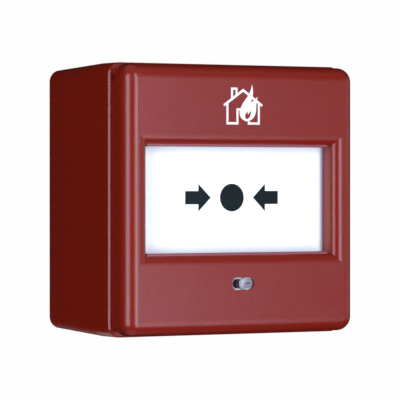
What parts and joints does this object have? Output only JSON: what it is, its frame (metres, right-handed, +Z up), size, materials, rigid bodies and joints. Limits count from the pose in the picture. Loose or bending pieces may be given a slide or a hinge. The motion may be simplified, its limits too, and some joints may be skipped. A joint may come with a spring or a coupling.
{
  "type": "manual call point",
  "caption": "Square red surface-mounted manual call point with a white press panel, a hinged front cover, a clear indicator and a resettable switch mechanism inside.",
  "frame": {"origin": "centre of the back box on the wall plane, at the middle of the four wall screw holes", "axes": "+X right as seen from the front, +Y into the wall, +Z up; the front face looks along -Y"},
  "size_m": [0.088, 0.0546, 0.088],
  "materials": {
    "red_housing": "satin moulded, fine grain",
    "white_element": "satin moulded",
    "white_film": "smooth printed film",
    "dark_print": "flat ink",
    "white_print": "flat ink",
    "yellow_flag": "printed strip",
    "clear_guide": "clear moulded acrylic",
    "dark_chassis": "satin moulded",
    "lever_plastic": "natural acetal",
    "board": "solder mask",
    "black_component": "moulded epoxy",
    "blue_sleeve": "printed sleeve",
    "resistor_body": "lacquer",
    "terminal_green": "moulded",
    "zinc_steel": "zinc plated",
    "spring_steel": "drawn wire",
    "tinned_brass": "plated",
    "rubber_black": "soft moulded",
    "red_lens": "tinted epoxy"
  },
  "bodies": {
    "base": {"back_box": "red_housing", "rear_grommet": "rubber_black", "chassis": "dark_chassis", "chassis_screws": "zinc_steel", "element_frame": "dark_chassis", "frame_screws": "zinc_steel", "lever_pin": "zinc_steel", "switch_body": "black_component", "switch_terminals": "tinned_brass", "circuit_board": "board", "board_screws": "zinc_steel", "terminal_block": "terminal_green", "terminal_clamps": "tinned_brass", "terminal_screws": "zinc_steel", "terminal_pins": "tinned_brass", "resistors": "resistor_body", "capacitor": "blue_sleeve", "controller_chip": "black_component", "chip_leads": "zinc_steel", "indicator_led": "red_lens", "led_leads": "zinc_steel", "light_pipe": "clear_guide", "latch_spring": "spring_steel"},
    "cover": {"front_cover": "red_housing", "light_guide": "clear_guide", "cover_pictogram": "white_print"},
    "element": {"call_element": "white_element", "label_film": "white_film", "operated_flag": "yellow_flag", "operating_marks": "dark_print"},
    "lever": {"trip_lever": "lever_plastic"},
    "plunger": {"switch_plunger": "lever_plastic"},
    "slider": {"reset_slider": "lever_plastic"},
    "latch": {"cover_latch": "lever_plastic"}
  },
  "joints": [
    {"name": "cover_hinge", "type": "hinge", "parent": "base", "child": "cover", "pos_m": [0, -0.0434, 0.0434], "axis": [-1, 0, 0], "range_deg": [0, 30]},
    {"name": "element_press", "type": "slide", "parent": "base", "child": "element", "axis": [0, 0.6, -0.8], "range_m": [0, 0.004]},
    {"name": "lever_swing", "type": "hinge", "parent": "base", "child": "lever", "pos_m": [0, -0.0365, -0.008], "axis": [-1, 0, 0], "range_deg": [0, 12]},
    {"name": "plunger_press", "type": "slide", "parent": "base", "child": "plunger", "axis": [0, 1, 0], "range_m": [0, 0.0012]},
    {"name": "slider_drop", "type": "slide", "parent": "base", "child": "slider", "axis": [0, 0, -1], "range_m": [0, 0.0033]},
    {"name": "latch_lift", "type": "slide", "parent": "base", "child": "latch", "axis": [0, 0, 1], "range_m": [0, 0.002], "stiffness_N_per_m": 150, "springref_m": -0.0005, "deforming": ["latch_spring"]}
  ],
  "couplings": [
    {"joint": "lever_swing", "follows": "element_press", "rad_per_m": 50},
    {"joint": "plunger_press", "follows": "element_press", "ratio": 0.28},
    {"joint": "slider_drop", "follows": "element_press", "ratio": 0.8}
  ]
}
